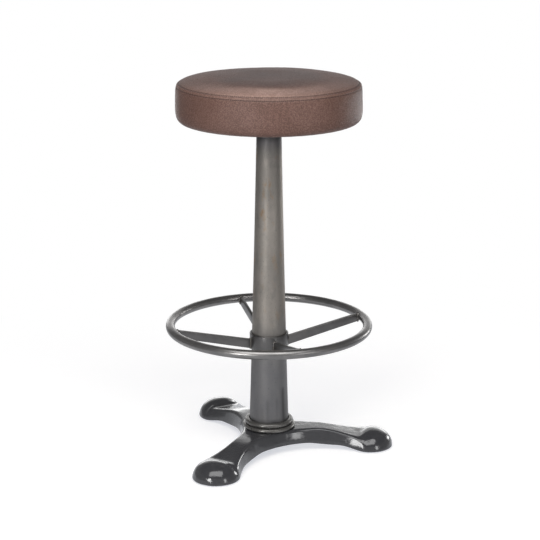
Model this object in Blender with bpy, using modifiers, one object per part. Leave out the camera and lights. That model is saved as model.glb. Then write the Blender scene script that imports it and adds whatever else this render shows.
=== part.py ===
"""Swivel bar stool: round leather seat on a tapered steel column with a ring footrest and a three-toed base.

The column's axis is Z and the floor is z = 0. One toe of the base points along +X.
"""

import math

import bmesh
import bpy

# Overall heights, in metres
SEAT_TOP = 0.752
SEAT_DEPTH = 0.0862
SEAT_STAND = 0.0298

# Fits
GAP = 0.0003
RUNNING_GAP = 0.0003
BOLT_CLEARANCE = 0.0005

# Seat cushion
SEAT_RADIUS = 0.1815
UPPER_SEAM_SETBACK = 0.0080
UPPER_SEAM_DROP = 0.0115
LOWER_SEAM_SETBACK = 0.0030
LOWER_SEAM_DROP = 0.0175
SEAM_GROOVE = 0.0009
SEAM_GROOVE_WIDTH = 0.0030
STRIP_BULGE = 0.0006
CROWN_POWER = 7.0
BELLY_DROP = 0.058
BOTTOM_ROLL = 0.014
BOTTOM_DRAW_IN = 0.0020
LEATHER = 0.0016
TURN_UNDER = 0.020
BOARD_THICKNESS = 0.015
DUST_COVER_THICKNESS = 0.0008
DUST_COVER_MARGIN = 0.008

# Seat plate and its screws
PLATE_RADIUS = 0.075
PLATE_THICKNESS = 0.005
SCREW_CIRCLE = 0.060
SCREW_COUNT = 4
SCREW_RADIUS = 0.0025
SCREW_BITE = 0.010
SCREW_HEAD_RADIUS = 0.0055
SCREW_HEAD_HEIGHT = 0.0035

# Swivel
NECK_RADIUS = 0.0125
JOURNAL_RADIUS = 0.010
SPIGOT_RADIUS = 0.0090
THREAD_RADIUS = 0.008
THREAD_TAIL = 0.003
BUSH_WALL = 0.0027
BUSH_LENGTH = 0.018
BUSH_FLANGE_RADIUS = 0.0165
BUSH_FLANGE = 0.0015
THRUST_WASHER_THICKNESS = 0.0015
THRUST_WASHER_RADIUS = 0.0150
STOP_WASHER_RADIUS = 0.0165
STOP_WASHER_THICKNESS = 0.0020
NUT_ACROSS_FLATS = 0.024
NUT_HEIGHT = 0.010
CROWN_LENGTH = 0.060
CROWN_LID = 0.0025
CROWN_LID_SET_BACK = 0.0006

# Column
COLUMN_TOP_RADIUS = 0.0245
COLUMN_FOOT_RADIUS = 0.0395
COLUMN_SWEEP_RATIO = 0.20
COLUMN_WALL = 0.003
PLUG_HEIGHT = 0.025

# Flange of two beads round the column's foot
FLANGE_HEIGHT = 0.0180
FLANGE_UPPER_RADIUS = 0.0485
FLANGE_LOWER_RADIUS = 0.0525
FLANGE_LOWER_BEAD = 0.0080

# Footrest
RING_RADIUS = 0.1956
RING_TUBE_RADIUS = 0.009
RING_HEIGHT = 0.256
COLLAR_RADIUS = 0.0385
COLLAR_WALL = 0.0035
COLLAR_HEIGHT = 0.031
SPOKE_COUNT = 4
SPOKE_TURN = math.radians(18)
SPOKE_LIFT = 0.0111
SPOKE_ROOT_DEPTH = 0.0195
SPOKE_TIP_DEPTH = 0.0165
SPOKE_THICKNESS = 0.006

# Base casting
TOE_COUNT = 3
TOE_CIRCLE = 0.2025
TOE_RADIUS = 0.0468
NOTCH_RADIUS = 0.0565
HUB_TOP = 0.0435
HUB_UNDERSIDE = 0.0165
SPOT_FACE_DEPTH = 0.0006
SPOT_FACE_MARGIN = 0.0005
FAN_END = 0.100
ARM_NECK_TOP = 0.0265
ARM_FALL_START = 0.092
ARM_FALL_END = 0.205
ARM_UNDERSIDE = 0.0110
ARM_RISE_START = 0.060
ARM_RISE_END = 0.140
ARM_SKIRT = 0.003
WALL_DRAFT = 0.0060
ARM_SQUARENESS = 10.0
KNOB_TOP = 0.0372
KNOB_START = 0.181
KNOB_RISE = 0.027
KNOB_SQUARENESS = 2.4
DOME_LEAD = 0.013
DOME_RUN = 0.028
TOE_DROP_START = 0.138
TOE_DROP_END = 0.198
TOE_WIDEST = 0.004
TOE_FOOT = 0.001
TOE_UNDERCUT = 4.0
GLIDE_RADIUS = 0.022
GLIDE_SHIFT = 0.004
GLIDE_THICKNESS = 0.003

# Tie bolt
BOLT_RADIUS = 0.008
BOLT_HEAD_ACROSS_FLATS = 0.024
BOLT_HEAD_HEIGHT = 0.010
BOLT_TIP_SHORT = 0.003
BOLT_WASHER_RADIUS = 0.020
BOLT_WASHER_THICKNESS = 0.003

# Facets
ROUND_STEPS = 48
MEDIUM_STEPS = 32
SMALL_STEPS = 24
SCREW_STEPS = 12
RING_STEPS = 72
RING_SIDES = 12
COLUMN_BANDS = 7
CROWN_BANDS = 6
SIDE_BANDS = 4
ARC_BANDS = 3
BEAD_BANDS = 6
NOTCH_BANDS = 14
TOE_BANDS = 14
UPPER_BANDS = 9
LOWER_BANDS = 3
SMOOTH_ANGLE = math.radians(32)

# Heights and radii that follow from the sizes above
SEAT_BOTTOM = SEAT_TOP - SEAT_DEPTH
COLUMN_TOP = SEAT_BOTTOM - SEAT_STAND
UPPER_SEAM_RADIUS = SEAT_RADIUS - UPPER_SEAM_SETBACK
LOWER_SEAM_RADIUS = SEAT_RADIUS - LOWER_SEAM_SETBACK
ROLL_RADIUS = SEAT_RADIUS - BOTTOM_DRAW_IN - BOTTOM_ROLL
BOARD_RADIUS = ROLL_RADIUS - GAP
BOARD_BOTTOM = SEAT_BOTTOM + LEATHER + GAP
BOARD_TOP = BOARD_BOTTOM + BOARD_THICKNESS
DUST_COVER_BOTTOM = SEAT_BOTTOM - GAP - DUST_COVER_THICKNESS
PLATE_BOTTOM = DUST_COVER_BOTTOM - GAP - PLATE_THICKNESS
SCREW_TOP = BOARD_BOTTOM + SCREW_BITE
LID_BOTTOM = COLUMN_TOP + GAP
LID_TOP = LID_BOTTOM + CROWN_LID
CROWN_BOTTOM = LID_BOTTOM - CROWN_LENGTH
THRUST_WASHER_BOTTOM = LID_TOP + BUSH_FLANGE + 2 * GAP
SHOULDER = THRUST_WASHER_BOTTOM + THRUST_WASHER_THICKNESS + RUNNING_GAP
STOP_WASHER_TOP = CROWN_BOTTOM - GAP - BUSH_FLANGE - RUNNING_GAP
STOP_WASHER_BOTTOM = STOP_WASHER_TOP - STOP_WASHER_THICKNESS
NUT_BOTTOM = STOP_WASHER_BOTTOM - GAP - NUT_HEIGHT
BUSH_BORE = JOURNAL_RADIUS + RUNNING_GAP
BUSH_RADIUS = BUSH_BORE + BUSH_WALL
COLUMN_FOOT = HUB_TOP + GAP
PLUG_TOP = COLUMN_FOOT + PLUG_HEIGHT
COLLAR_BORE = COLLAR_RADIUS - COLLAR_WALL
KNOB_CREST = KNOB_START + KNOB_RISE
DOME_START = KNOB_START - DOME_LEAD
BOLT_WASHER_BOTTOM = HUB_UNDERSIDE - GAP - BOLT_WASHER_THICKNESS
BOLT_HEAD_TOP = BOLT_WASHER_BOTTOM - GAP


def remove_scene_objects():
    for scene_object in list(bpy.data.objects):
        bpy.data.objects.remove(scene_object, do_unlink=True)


def new_collection(name):
    collection = bpy.data.collections.new(name)
    bpy.context.scene.collection.children.link(collection)
    return collection


def new_empty(name, height, collection):
    empty = bpy.data.objects.new(name, None)
    empty.location = (0, 0, height)
    collection.objects.link(empty)
    return empty


def linear(channel):
    """Screen value, 0 to 255, as the linear value that a shader takes."""
    share = channel / 255
    if share <= 0.04045:
        return share / 12.92
    return ((share + 0.055) / 1.055) ** 2.4


def new_material(name, red, green, blue, roughness, metallic=0.0):
    material = bpy.data.materials.new(name)
    material.use_nodes = True
    shader = material.node_tree.nodes["Principled BSDF"]
    shader.inputs["Base Color"].default_value = (linear(red), linear(green), linear(blue), 1)
    shader.inputs["Roughness"].default_value = roughness
    shader.inputs["Metallic"].default_value = metallic
    return material


def blend(first, second, share):
    return first + (second - first) * share


def smoothstep(start, end, value):
    share = min(max((value - start) / (end - start), 0.0), 1.0)
    return share * share * (3 - 2 * share)


def round_spots(count, radius, first_angle=0.0):
    angles = [first_angle + math.tau * index / count for index in range(count)]
    return [(radius * math.cos(angle), radius * math.sin(angle)) for angle in angles]


def arc(centre, radius, start_degrees, end_degrees, bands=ARC_BANDS):
    """Points of an arc in the plane of a turned profile."""
    angles = [math.radians(blend(start_degrees, end_degrees, band / bands)) for band in range(bands + 1)]
    return [(centre[0] + radius * math.cos(a), centre[1] + radius * math.sin(a)) for a in angles]


class Workshop:
    """Collections, materials and carrying empties that the pieces are made with."""

    def __init__(self):
        self.pieces = new_collection("bar_stool")
        self.cutters = new_collection("cutters")
        self.frame = new_empty("stool_frame", 0.0, self.pieces)
        self.swivel = new_empty("seat_swivel_axis", SHOULDER, self.pieces)
        self.leather = new_material("brown_leather", 112, 84, 74, 0.55)
        self.foam = new_material("foam", 214, 203, 170, 0.9)
        self.board = new_material("plywood", 170, 134, 92, 0.7)
        self.cloth = new_material("dust_cloth", 30, 30, 31, 0.95)
        self.column = new_material("waxed_steel", 118, 113, 106, 0.42, 0.8)
        self.ring = new_material("dark_steel", 84, 81, 80, 0.35, 0.85)
        self.flange = new_material("brown_steel", 86, 78, 71, 0.4, 0.75)
        self.casting = new_material("gloss_black", 30, 30, 33, 0.18, 0.1)
        self.zinc = new_material("zinc_steel", 168, 170, 172, 0.35, 1.0)
        self.bronze = new_material("bush_bronze", 158, 118, 66, 0.4, 1.0)
        self.rubber = new_material("glide_rubber", 24, 24, 24, 0.85)

    def add(self, name, builder, material, carrier, height=0.0, cutter=False):
        """Turns a mesh under construction into a piece that a carrier holds at a height."""
        mesh = bpy.data.meshes.new(name)
        builder.to_mesh(mesh)
        builder.free()
        piece = bpy.data.objects.new(name, mesh)
        if cutter:
            self.cutters.objects.link(piece)
            piece.hide_render = True
            piece.display_type = "WIRE"
        else:
            self.pieces.objects.link(piece)
            mesh.materials.append(material)
            mesh.shade_smooth()
            mesh.set_sharp_from_angle(angle=SMOOTH_ANGLE)
            piece.parent = carrier
            piece.location = (0, 0, height - carrier.location.z)
        return piece

    def turned(self, name, profile, material, carrier, height=0.0, steps=ROUND_STEPS):
        """Solid of revolution. Its profile runs outwards along the top and down the outer side."""
        builder = bmesh.new()
        points = [builder.verts.new((radius, 0, level)) for radius, level in profile]
        for first, second in zip(points, points[1:]):
            builder.edges.new((first, second))
        if profile[0][0] > 0:
            builder.edges.new((points[-1], points[0]))
        piece = self.add(name, builder, material, carrier, height)
        screw = piece.modifiers.new("Turn", "SCREW")
        screw.steps = steps
        screw.render_steps = steps
        screw.use_merge_vertices = True
        screw.merge_threshold = 0.00001
        screw.use_smooth_shade = True
        return piece

    def posts(self, name, radius, bottom, top, spots, sides=SMALL_STEPS):
        """One cutter with an upright post at each spot."""
        builder = bmesh.new()
        for x, y in spots:
            post = bmesh.ops.create_cone(
                builder, cap_ends=True, segments=sides, radius1=radius, radius2=radius, depth=top - bottom
            )
            bmesh.ops.translate(builder, verts=post["verts"], vec=(x, y, (bottom + top) / 2))
        return self.add(name, builder, None, None, cutter=True)

    def combine(self, piece, tool, operation):
        boolean = piece.modifiers.new(operation.title(), "BOOLEAN")
        boolean.operation = operation
        boolean.object = tool


def ring_profile(bore, radius, height):
    return [(bore, height), (radius, height), (radius, 0), (bore, 0)]


def disc_profile(radius, height):
    return [(0, height), (radius, height), (radius, 0), (0, 0)]


def column_radius(height):
    """Outside of the column: a taper that opens slightly more towards its foot."""
    share = (COLUMN_TOP - height) / (COLUMN_TOP - COLUMN_FOOT)
    swept = share * (1 - COLUMN_SWEEP_RATIO) + COLUMN_SWEEP_RATIO * share * share
    return blend(COLUMN_TOP_RADIUS, COLUMN_FOOT_RADIUS, swept)


def column_height_at(radius):
    """Height at which the column's outside has a given radius."""
    wanted = (radius - COLUMN_TOP_RADIUS) / (COLUMN_FOOT_RADIUS - COLUMN_TOP_RADIUS)
    straight = 1 - COLUMN_SWEEP_RATIO
    root = math.sqrt(straight * straight + 4 * COLUMN_SWEEP_RATIO * wanted)
    share = (root - straight) / (2 * COLUMN_SWEEP_RATIO)
    return COLUMN_TOP - (COLUMN_TOP - COLUMN_FOOT) * share


def cushion_crown(inset, reach):
    """Top of the cushion from the axis out to a reach, an inset below the leather's face."""
    radii = [min(UPPER_SEAM_RADIUS * math.sqrt(band / CROWN_BANDS), reach) for band in range(CROWN_BANDS + 1)]
    return [(r, SEAT_TOP - inset - UPPER_SEAM_DROP * (r / UPPER_SEAM_RADIUS) ** CROWN_POWER) for r in radii]


def cushion_side(inset, top):
    """Side of the cushion from a level down round the bottom roll, an inset behind the leather's face."""
    belly = SEAT_TOP - BELLY_DROP
    roll_top = SEAT_BOTTOM + BOTTOM_ROLL
    shoulder = SEAT_TOP - LOWER_SEAM_DROP
    points = []
    for band in range(SIDE_BANDS + 1):
        level = blend(top, roll_top, band / SIDE_BANDS)
        if level > belly:
            draw_in = (SEAT_RADIUS - LOWER_SEAM_RADIUS) * ((level - belly) / (shoulder - belly)) ** 2
        else:
            draw_in = BOTTOM_DRAW_IN * ((belly - level) / (belly - roll_top)) ** 2
        points.append((SEAT_RADIUS - draw_in - inset, level))
    return points + arc((ROLL_RADIUS, roll_top), BOTTOM_ROLL - inset, 0, -90)[1:]


def make_cushion(shop):
    """Foam on a board under a leather top panel and a leather side band, sewn at a dropped seam."""
    upper_seam = SEAT_TOP - UPPER_SEAM_DROP
    lower_seam = SEAT_TOP - LOWER_SEAM_DROP
    half_groove = SEAM_GROOVE_WIDTH / 2
    strip = (LOWER_SEAM_RADIUS - UPPER_SEAM_RADIUS, lower_seam - upper_seam)
    strip_length = math.hypot(*strip)
    outward = (-strip[1] / strip_length, strip[0] / strip_length)

    def on_strip(distance, lift):
        share = distance / strip_length
        radius = UPPER_SEAM_RADIUS + strip[0] * share + outward[0] * lift
        return radius, upper_seam + strip[1] * share + outward[1] * lift

    top_face = cushion_crown(0.0, UPPER_SEAM_RADIUS - half_groove)
    top_face += [on_strip(0.0, -SEAM_GROOVE), on_strip(half_groove, 0.0)]
    top_face += [on_strip(strip_length / 2, STRIP_BULGE), on_strip(strip_length - half_groove, 0.0)]
    top_face += [on_strip(strip_length, -SEAM_GROOVE)]
    top_back = [on_strip(strip_length, -LEATHER), on_strip(0.0, -LEATHER)]
    top_back += cushion_crown(LEATHER, UPPER_SEAM_RADIUS - LEATHER)[-2::-1]
    shop.turned("seat_top_panel", top_face + top_back, shop.leather, shop.swivel)

    lip = ROLL_RADIUS - TURN_UNDER
    seam_foot = lower_seam - GAP
    side_face = [(LOWER_SEAM_RADIUS - SEAM_GROOVE, seam_foot - SEAM_GROOVE)]
    side_face += cushion_side(0.0, seam_foot - half_groove)
    side_back = [(lip, SEAT_BOTTOM), (lip, SEAT_BOTTOM + LEATHER)]
    side_back += cushion_side(LEATHER, seam_foot - half_groove)[::-1]
    shop.turned("seat_side_band", side_face + side_back, shop.leather, shop.swivel)

    lining = LEATHER + GAP
    foam = cushion_crown(lining, UPPER_SEAM_RADIUS - 2 * LEATHER)
    foam += cushion_side(lining, lower_seam - half_groove)
    foam += [(ROLL_RADIUS, BOARD_TOP + GAP), (0, BOARD_TOP + GAP)]
    shop.turned("seat_foam", foam, shop.foam, shop.swivel)

    board = disc_profile(BOARD_RADIUS, BOARD_THICKNESS)
    board = shop.turned("seat_board", board, shop.board, shop.swivel, BOARD_BOTTOM)
    cover = disc_profile(ROLL_RADIUS - DUST_COVER_MARGIN, DUST_COVER_THICKNESS)
    cover = shop.turned("dust_cover", cover, shop.cloth, shop.swivel, DUST_COVER_BOTTOM)
    return board, cover


def make_seat_plate(shop, board, cover):
    """Round steel plate under the cushion, held to the board by screws through the dust cover."""
    bore = SPIGOT_RADIUS + GAP
    profile = ring_profile(bore, PLATE_RADIUS, PLATE_THICKNESS)
    plate = shop.turned("seat_plate", profile, shop.zinc, shop.swivel, PLATE_BOTTOM)

    spots = round_spots(SCREW_COUNT, SCREW_CIRCLE, math.tau / (2 * SCREW_COUNT))
    head_bottom = PLATE_BOTTOM - GAP - SCREW_HEAD_HEIGHT
    hole_top = SCREW_TOP + GAP
    holes = shop.posts("screw_holes", SCREW_RADIUS + GAP, head_bottom, hole_top, spots, SCREW_STEPS)
    for drilled in (plate, cover, board):
        shop.combine(drilled, holes, "DIFFERENCE")

    length = SCREW_TOP - head_bottom
    profile = [(0, length), (SCREW_RADIUS, length), (SCREW_RADIUS, SCREW_HEAD_HEIGHT)]
    profile += [(SCREW_HEAD_RADIUS, SCREW_HEAD_HEIGHT), (SCREW_HEAD_RADIUS, SCREW_HEAD_HEIGHT / 2)]
    profile += [(SCREW_HEAD_RADIUS / 2, 0), (0, 0)]
    for number, (x, y) in enumerate(spots, start=1):
        name = f"seat_screw_{number}"
        screw = shop.turned(name, profile, shop.zinc, shop.swivel, head_bottom, SCREW_STEPS)
        screw.location.x = x
        screw.location.y = y


def hex_prism(builder, across_flats, bottom, top):
    corner = across_flats / math.sqrt(3)
    made = bmesh.ops.create_cone(
        builder, cap_ends=True, segments=6, radius1=corner, radius2=corner, depth=top - bottom
    )
    bmesh.ops.translate(builder, verts=made["verts"], vec=(0, 0, (bottom + top) / 2))


def make_swivel(shop):
    """Spindle under the seat plate, its bushes in the column's crown, and the nut that keeps it there."""
    spigot_top = PLATE_BOTTOM + PLATE_THICKNESS
    neck_top = PLATE_BOTTOM - GAP
    tail = NUT_BOTTOM - THREAD_TAIL
    journal_end = STOP_WASHER_TOP + GAP
    spindle = [(0, spigot_top), (SPIGOT_RADIUS, spigot_top), (SPIGOT_RADIUS, neck_top)]
    spindle += [(NECK_RADIUS, neck_top), (NECK_RADIUS, SHOULDER), (JOURNAL_RADIUS, SHOULDER)]
    spindle += [(JOURNAL_RADIUS, journal_end), (THREAD_RADIUS, journal_end), (THREAD_RADIUS, tail), (0, tail)]
    spindle = [(radius, level - tail) for radius, level in spindle]
    shop.turned("spindle", spindle, shop.zinc, shop.swivel, tail, SMALL_STEPS)

    lid_radius = COLUMN_TOP_RADIUS - CROWN_LID_SET_BACK
    body_radius = COLUMN_TOP_RADIUS - COLUMN_WALL - GAP
    bore = BUSH_RADIUS + GAP
    total = CROWN_LENGTH + CROWN_LID
    crown = [(bore, total), (lid_radius - CROWN_LID / 2, total), (lid_radius, total - CROWN_LID / 2)]
    crown += [(lid_radius, CROWN_LENGTH), (body_radius, CROWN_LENGTH), (body_radius, 0), (bore, 0)]
    shop.turned("column_crown", crown, shop.column, shop.frame, CROWN_BOTTOM, MEDIUM_STEPS)

    total = BUSH_LENGTH + BUSH_FLANGE
    upper = [(BUSH_BORE, total), (BUSH_FLANGE_RADIUS, total), (BUSH_FLANGE_RADIUS, BUSH_LENGTH)]
    upper += [(BUSH_RADIUS, BUSH_LENGTH), (BUSH_RADIUS, 0), (BUSH_BORE, 0)]
    upper_height = LID_TOP + GAP - BUSH_LENGTH
    shop.turned("upper_bush", upper, shop.bronze, shop.frame, upper_height, SMALL_STEPS)
    lower = [(radius, total - level) for radius, level in reversed(upper)]
    lower_height = CROWN_BOTTOM - GAP - BUSH_FLANGE
    shop.turned("lower_bush", lower, shop.bronze, shop.frame, lower_height, SMALL_STEPS)

    thrust = ring_profile(BUSH_BORE, THRUST_WASHER_RADIUS, THRUST_WASHER_THICKNESS)
    shop.turned("thrust_washer", thrust, shop.zinc, shop.frame, THRUST_WASHER_BOTTOM, SMALL_STEPS)
    stop = ring_profile(THREAD_RADIUS + GAP, STOP_WASHER_RADIUS, STOP_WASHER_THICKNESS)
    shop.turned("stop_washer", stop, shop.zinc, shop.swivel, STOP_WASHER_BOTTOM, SMALL_STEPS)

    builder = bmesh.new()
    hex_prism(builder, NUT_ACROSS_FLATS, 0, NUT_HEIGHT)
    nut = shop.add("spindle_nut", builder, shop.zinc, shop.swivel, NUT_BOTTOM)
    thread = shop.posts("nut_thread", THREAD_RADIUS + GAP, tail, STOP_WASHER_TOP, [(0, 0)])
    shop.combine(nut, thread, "DIFFERENCE")


def make_column(shop):
    """Tapered tube with a plug in its foot, standing in a flange of two beads on the casting."""
    levels = [blend(COLUMN_TOP, COLUMN_FOOT, band / COLUMN_BANDS) for band in range(COLUMN_BANDS + 1)]
    outside = [(column_radius(level), level - COLUMN_FOOT) for level in levels]
    inside = [(radius - COLUMN_WALL, level) for radius, level in reversed(outside)]
    shop.turned("column_tube", outside + inside, shop.column, shop.frame, COLUMN_FOOT)

    plug_radius = column_radius(PLUG_TOP) - COLUMN_WALL - GAP
    plug = ring_profile(BOLT_RADIUS + GAP, plug_radius, PLUG_HEIGHT)
    shop.turned("column_plug", plug, shop.zinc, shop.frame, COLUMN_FOOT, MEDIUM_STEPS)

    bore = COLUMN_FOOT_RADIUS + GAP
    lower_round = FLANGE_LOWER_BEAD / 2
    upper_round = (FLANGE_HEIGHT - FLANGE_LOWER_BEAD) / 2
    upper_middle = FLANGE_LOWER_BEAD + upper_round
    flange = [(bore, FLANGE_HEIGHT)]
    flange += arc((FLANGE_UPPER_RADIUS - upper_round, upper_middle), upper_round, 90, -90, BEAD_BANDS)
    flange += arc((FLANGE_LOWER_RADIUS - lower_round, lower_round), lower_round, 90, -90, BEAD_BANDS)
    flange += [(bore, 0)]
    shop.turned("column_flange", flange, shop.flange, shop.frame, COLUMN_FOOT)


def torus(builder, radius, tube_radius, height):
    """Closed round bar bent into a ring about the axis."""
    circle = bmesh.ops.create_circle(builder, segments=RING_SIDES, radius=tube_radius)["verts"]
    rim = list({edge for point in circle for edge in point.link_edges})
    for point in circle:
        out, up = point.co.x, point.co.y
        point.co = (radius + out, 0, height + up)
    bmesh.ops.spin(
        builder, geom=circle + rim, cent=(0, 0, 0), axis=(0, 0, 1), angle=math.tau,
        steps=RING_STEPS, use_merge=True
    )
    bmesh.ops.recalc_face_normals(builder, faces=builder.faces)


def make_footrest(shop):
    """Ring of round bar on four upright flat spokes, welded to a collar that wedges on the column's taper."""
    builder = bmesh.new()
    torus(builder, RING_RADIUS, RING_TUBE_RADIUS, 0)
    shop.add("foot_ring", builder, shop.ring, shop.frame, RING_HEIGHT)
    builder = bmesh.new()
    torus(builder, RING_RADIUS, RING_TUBE_RADIUS + GAP, RING_HEIGHT)
    ring_cutter = shop.add("ring_cope", builder, None, None, cutter=True)

    collar_bottom = column_height_at(COLLAR_BORE - GAP)
    collar = ring_profile(COLLAR_BORE, COLLAR_RADIUS, COLLAR_HEIGHT)
    shop.turned("ring_collar", collar, shop.ring, shop.frame, collar_bottom)

    inner = COLLAR_RADIUS + GAP
    inner_middle = collar_bottom + SPOKE_LIFT
    for number in range(1, SPOKE_COUNT + 1):
        builder = bmesh.new()
        bar = bmesh.ops.create_cube(builder, size=1.0)["verts"]
        for corner in bar:
            along, across, up = corner.co
            middle = blend(inner_middle, RING_HEIGHT, along + 0.5)
            reach = blend(inner, RING_RADIUS, along + 0.5)
            depth = blend(SPOKE_ROOT_DEPTH, SPOKE_TIP_DEPTH, along + 0.5)
            corner.co = (reach, across * SPOKE_THICKNESS, middle + up * depth)
        spoke = shop.add(f"ring_spoke_{number}", builder, shop.ring, shop.frame)
        spoke.rotation_euler.z = SPOKE_TURN + math.tau * (number - 1) / SPOKE_COUNT
        shop.combine(spoke, ring_cutter, "DIFFERENCE")


def casting_outline():
    """Half of one arm in plan, from the notch between two arms round to the tip of the toe."""
    half_sector = math.pi / TOE_COUNT
    excess = TOE_RADIUS - NOTCH_RADIUS
    span = TOE_CIRCLE ** 2 - excess ** 2
    hollow_distance = span / (2 * (TOE_CIRCLE * math.cos(half_sector) + excess))
    hollow_radius = hollow_distance - NOTCH_RADIUS
    hollow_x = hollow_distance * math.cos(half_sector)
    hollow_y = hollow_distance * math.sin(half_sector)
    meeting = math.atan2(hollow_y, hollow_x - TOE_CIRCLE)

    points = []
    for band in range(NOTCH_BANDS):
        angle = blend(math.pi + half_sector, math.pi + meeting, band / NOTCH_BANDS)
        x = hollow_x + hollow_radius * math.cos(angle)
        y = hollow_y + hollow_radius * math.sin(angle)
        points.append((x, y))
    for band in range(TOE_BANDS + 1):
        angle = blend(meeting, 0, band / TOE_BANDS)
        points.append((TOE_CIRCLE + TOE_RADIUS * math.cos(angle), TOE_RADIUS * math.sin(angle)))
    return points


def tip_share(reach, start, power):
    """Falls from 1 at a start to 0 at the tip of the toe, as the quarter of a rounded square."""
    tip = TOE_CIRCLE + TOE_RADIUS
    share = min(max((reach - start) / (tip - start), 0.0), 1.0)
    return (1 - share ** power) ** (1 / power)


def knob_rise(reach):
    """Rises from 0 where a knob starts on its arm, at a crease, to 1 at the knob's crest."""
    share = min(max((reach - KNOB_START) / KNOB_RISE, 0.0), 1.0)
    return math.sin(share * math.pi / 2)


def casting_levels(reach):
    """Crest, widest level and underside of an arm at a reach from the axis."""
    cast_top = HUB_TOP + SPOT_FACE_DEPTH
    arm_top = blend(cast_top, ARM_NECK_TOP, smoothstep(ARM_FALL_START, ARM_FALL_END, reach))
    crest = blend(arm_top, KNOB_TOP, knob_rise(reach))
    under = blend(HUB_UNDERSIDE, ARM_UNDERSIDE, smoothstep(ARM_RISE_START, ARM_RISE_END, reach))
    toe = smoothstep(TOE_DROP_START, TOE_DROP_END, reach)
    widest = blend(under + ARM_SKIRT, TOE_WIDEST, toe)
    under = blend(under, TOE_FOOT, toe)
    crest = blend(widest, crest, tip_share(reach, KNOB_CREST, 2.0))
    under = blend(widest, under, tip_share(reach, TOE_CIRCLE, TOE_UNDERCUT))
    return crest, widest, under


def casting_section(outline_x, outline_y):
    """Half section of an arm from its crest over the wall to its underside.

    Near the hub the sections fan out from the axis, so that neighbouring arms share their first one.
    """
    notch_x = NOTCH_RADIUS * math.cos(math.pi / TOE_COUNT)
    centre_x = outline_x - notch_x * (1 - min((outline_x - notch_x) / (FAN_END - notch_x), 1.0))
    crest, widest, under = casting_levels(centre_x)
    half_width = math.hypot(outline_x - centre_x, outline_y)
    dome = smoothstep(DOME_START, DOME_START + DOME_RUN, centre_x)
    squareness = blend(ARM_SQUARENESS, KNOB_SQUARENESS, dome)
    undercut = blend(ARM_SQUARENESS, TOE_UNDERCUT, dome)

    section = []
    for band in range(UPPER_BANDS + 1):
        angle = math.pi / 2 * (1 - band / UPPER_BANDS)
        rise = math.sin(angle) ** (2 / squareness)
        draft = 1 - min(WALL_DRAFT / max(half_width, WALL_DRAFT), 1.0) * rise
        share = max(math.cos(angle), 0.0) ** (2 / squareness) * draft
        section.append((share, blend(widest, crest, rise)))
    for band in range(1, LOWER_BANDS + 1):
        angle = math.pi / 2 * band / LOWER_BANDS
        drop = math.sin(angle) ** (2 / undercut)
        share = max(math.cos(angle), 0.0) ** (2 / undercut)
        section.append((share, blend(widest, under, drop)))
    section[0] = (0.0, section[0][1])
    section[-1] = (0.0, section[-1][1])
    return [(blend(centre_x, outline_x, share), outline_y * share, level) for share, level in section]


def make_base(shop):
    """Three-toed casting, lofted as one half arm that is mirrored and repeated about the axis."""
    builder = bmesh.new()
    rows = [[builder.verts.new(point) for point in casting_section(x, y)] for x, y in casting_outline()]
    for near, far in zip(rows, rows[1:]):
        for column in range(len(near) - 1):
            builder.faces.new((near[column], near[column + 1], far[column + 1], far[column]))
    half_arm = builder.verts[:] + builder.edges[:] + builder.faces[:]
    copied = bmesh.ops.duplicate(builder, geom=half_arm)["geom"]
    copied_points = [item for item in copied if isinstance(item, bmesh.types.BMVert)]
    bmesh.ops.scale(builder, vec=(1, -1, 1), verts=copied_points)
    arm = builder.verts[:] + builder.edges[:] + builder.faces[:]
    turn = math.tau * (TOE_COUNT - 1) / TOE_COUNT
    bmesh.ops.spin(
        builder, geom=arm, cent=(0, 0, 0), axis=(0, 0, 1), angle=turn, steps=TOE_COUNT - 1, use_duplicate=True
    )
    bmesh.ops.remove_doubles(builder, verts=builder.verts, dist=0.00001)
    bmesh.ops.dissolve_degenerate(builder, edges=builder.edges, dist=0.000001)
    bmesh.ops.recalc_face_normals(builder, faces=builder.faces)
    casting = shop.add("base_casting", builder, shop.casting, shop.frame)

    seat_radius = FLANGE_LOWER_RADIUS + SPOT_FACE_MARGIN
    spot_face = shop.posts("spot_face", seat_radius, HUB_TOP, COLUMN_TOP, [(0, 0)], ROUND_STEPS)
    bolt_bore = shop.posts("bolt_bore", BOLT_RADIUS + BOLT_CLEARANCE, -HUB_TOP, COLUMN_TOP, [(0, 0)])
    toes = round_spots(TOE_COUNT, TOE_CIRCLE + GLIDE_SHIFT)
    pockets = shop.posts("glide_pockets", GLIDE_RADIUS + GAP, -HUB_TOP, GLIDE_THICKNESS + GAP, toes)
    for cutter in (spot_face, bolt_bore, pockets):
        shop.combine(casting, cutter, "DIFFERENCE")

    glide = disc_profile(GLIDE_RADIUS, GLIDE_THICKNESS)
    for number, (x, y) in enumerate(toes, start=1):
        pad = shop.turned(f"foot_glide_{number}", glide, shop.rubber, shop.frame, 0.0, SMALL_STEPS)
        pad.location.x = x
        pad.location.y = y


def make_tie_bolt(shop):
    """Bolt and washer under the hub that draw the column down on to the casting."""
    washer = ring_profile(BOLT_RADIUS + GAP, BOLT_WASHER_RADIUS, BOLT_WASHER_THICKNESS)
    shop.turned("tie_bolt_washer", washer, shop.zinc, shop.frame, BOLT_WASHER_BOTTOM, SMALL_STEPS)
    builder = bmesh.new()
    hex_prism(builder, BOLT_HEAD_ACROSS_FLATS, 0, BOLT_HEAD_HEIGHT)
    bolt = shop.add("tie_bolt", builder, shop.zinc, shop.frame, BOLT_HEAD_TOP - BOLT_HEAD_HEIGHT)
    shank_bottom = BOLT_HEAD_TOP - BOLT_HEAD_HEIGHT / 2
    shank = shop.posts("bolt_shank", BOLT_RADIUS, shank_bottom, PLUG_TOP - BOLT_TIP_SHORT, [(0, 0)])
    shop.combine(bolt, shank, "UNION")


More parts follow.
